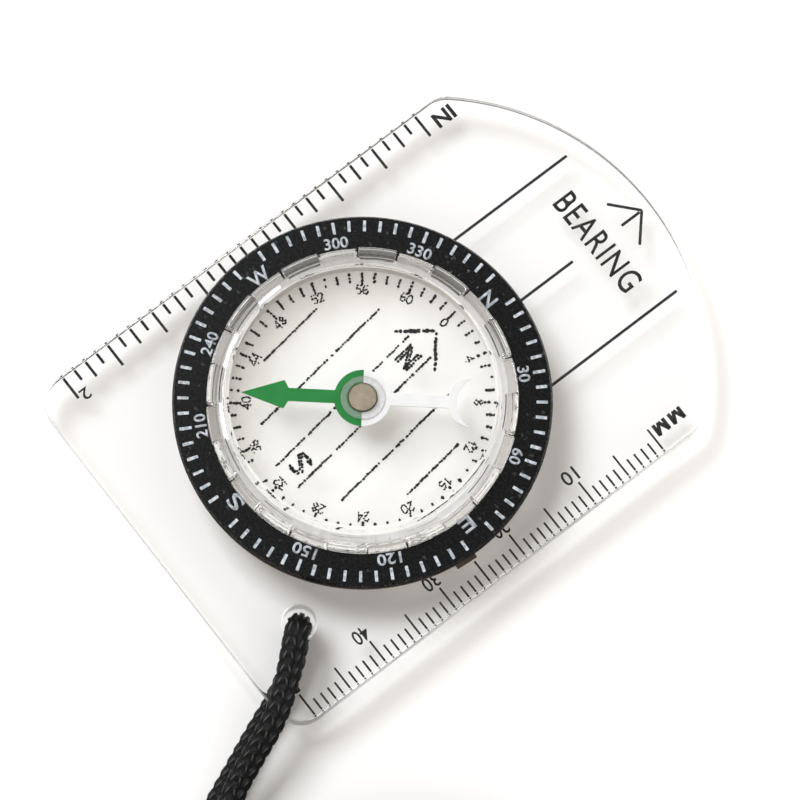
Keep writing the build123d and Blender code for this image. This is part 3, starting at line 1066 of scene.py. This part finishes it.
def disc_print():
    ink = Print(DISC_TOP + INK_GAP / 2)
    for east, south_end, north_end in DISC_LINES:
        ink.dotted([on_disc(east, south_end), on_disc(east, north_end)], DISC_LINE, 0.92)
    for hand in (-1, 1):
        foot = on_disc(hand * DISC_ARROW_FOOT[0], DISC_ARROW_FOOT[1])
        ink.dotted([foot, on_disc(0, DISC_ARROW_TIP)], DISC_ARROW_LINE, 1.0)
    for hand in (-1, 1):
        aside = hand * DISC_LETTER_DOUBLE / 2
        for letter, north in (("N", DISC_LETTER_NORTH), ("S", DISC_LETTER_SOUTH)):
            sign(ink, letter, (aside, north), DISC_LETTER_HEIGHT, 90, DISC_LETTER_LINE, 1.0)
    for k in range(DISC_TICKS):
        angle = 90 - k * 360 / DISC_TICKS
        inner = DISC_LONG_TICK_INNER if k % 4 == 0 else DISC_TICK_INNER
        ends = [on_disc(*polar(inner, angle)), on_disc(*polar(DISC_TICK_OUTER, angle))]
        ink.dotted(ends, DISC_TICK_LINE, 0.95)
    for k in range(0, DISC_TICKS, 4):
        angle = 90 - k * 360 / DISC_TICKS
        label = str(k)
        step = 0.75 * DISC_LABEL_HEIGHT
        right = Vector(polar(1, angle - 90))
        for place, character in enumerate(label):
            shift = (place - (len(label) - 1) / 2) * step
            middle = Vector(polar(DISC_LABEL_RADIUS, angle)) + right * shift
            sign(ink, character, middle, DISC_LABEL_HEIGHT, angle, DISC_LABEL_LINE, 0.95)
    return ink.piece("print_dial_disc", BLACK_INK, "dial")


inch_scale()
millimetre_scale()
bearing_print()
bezel_print()
disc_print()

# ---------------------------------------------------------------- floor and lights

FLOOR_SIZE = 6.0
KEY_DISTANCE = 1.4
KEY_TILT = 31.0
KEY_AZIMUTH = 187.0
KEY_SIZE = 0.62
KEY_POWER = 14.6
KEY_COLOUR = (0.98, 1.01, 1.05)
SKY_STRENGTH = 0.94
SKY_COLOUR = (1.0, 0.965, 0.92, 1)
CEILING_EDGE = 0.85
CEILING_MIDDLE = 0.945
CEILING_SHADE = 0.25


def make_floor():
    bm = bmesh.new()
    half = FLOOR_SIZE / 2
    corners = [bm.verts.new((x * half, y * half, 0)) for x, y in ((-1, -1), (1, -1), (1, 1), (-1, 1))]
    bm.faces.new(corners)
    finish_mesh("floor", bm, floor_material())


def make_light():
    data = bpy.data.lights.new("softbox", "AREA")
    data.shape = "SQUARE"
    data.size = KEY_SIZE
    data.energy = KEY_POWER
    data.color = KEY_COLOUR
    light = bpy.data.objects.new("softbox", data)
    tilt, azimuth = math.radians(KEY_TILT), math.radians(KEY_AZIMUTH)
    away = Vector(
        (math.sin(tilt) * math.cos(azimuth), math.sin(tilt) * math.sin(azimuth), math.cos(tilt))
    )
    light.location = away * KEY_DISTANCE
    light.rotation_euler = away.to_track_quat("Z", "Y").to_euler()
    bpy.context.scene.collection.objects.link(light)


def make_world():
    world = bpy.data.worlds.new("studio")
    bpy.context.scene.world = world
    world.use_nodes = True
    tree = world.node_tree
    background = tree.nodes["Background"]
    background.inputs["Strength"].default_value = SKY_STRENGTH
    direction = tree.nodes.new("ShaderNodeTexCoord")
    height = tree.nodes.new("ShaderNodeSeparateXYZ")
    ramp = tree.nodes.new("ShaderNodeValToRGB")
    tree.links.new(direction.outputs["Generated"], height.inputs[0])
    tree.links.new(height.outputs["Z"], ramp.inputs["Fac"])
    tree.links.new(ramp.outputs["Color"], background.inputs["Color"])
    ramp.color_ramp.elements[0].position = 0.0
    ramp.color_ramp.elements[0].color = SKY_COLOUR
    ramp.color_ramp.elements[1].position = CEILING_EDGE
    ramp.color_ramp.elements[1].color = SKY_COLOUR
    ceiling = ramp.color_ramp.elements.new(CEILING_MIDDLE)
    ceiling.color = (*(CEILING_SHADE,) * 3, 1)


make_floor()
make_light()
make_world()

scene = bpy.context.scene
scene.view_settings.view_transform = "Standard"
scene.cycles.caustics_reflective = False
scene.cycles.caustics_refractive = False
scene.cycles.transparent_max_bounces = 32
scene.cycles.transmission_bounces = 16
scene.cycles.max_bounces = 20
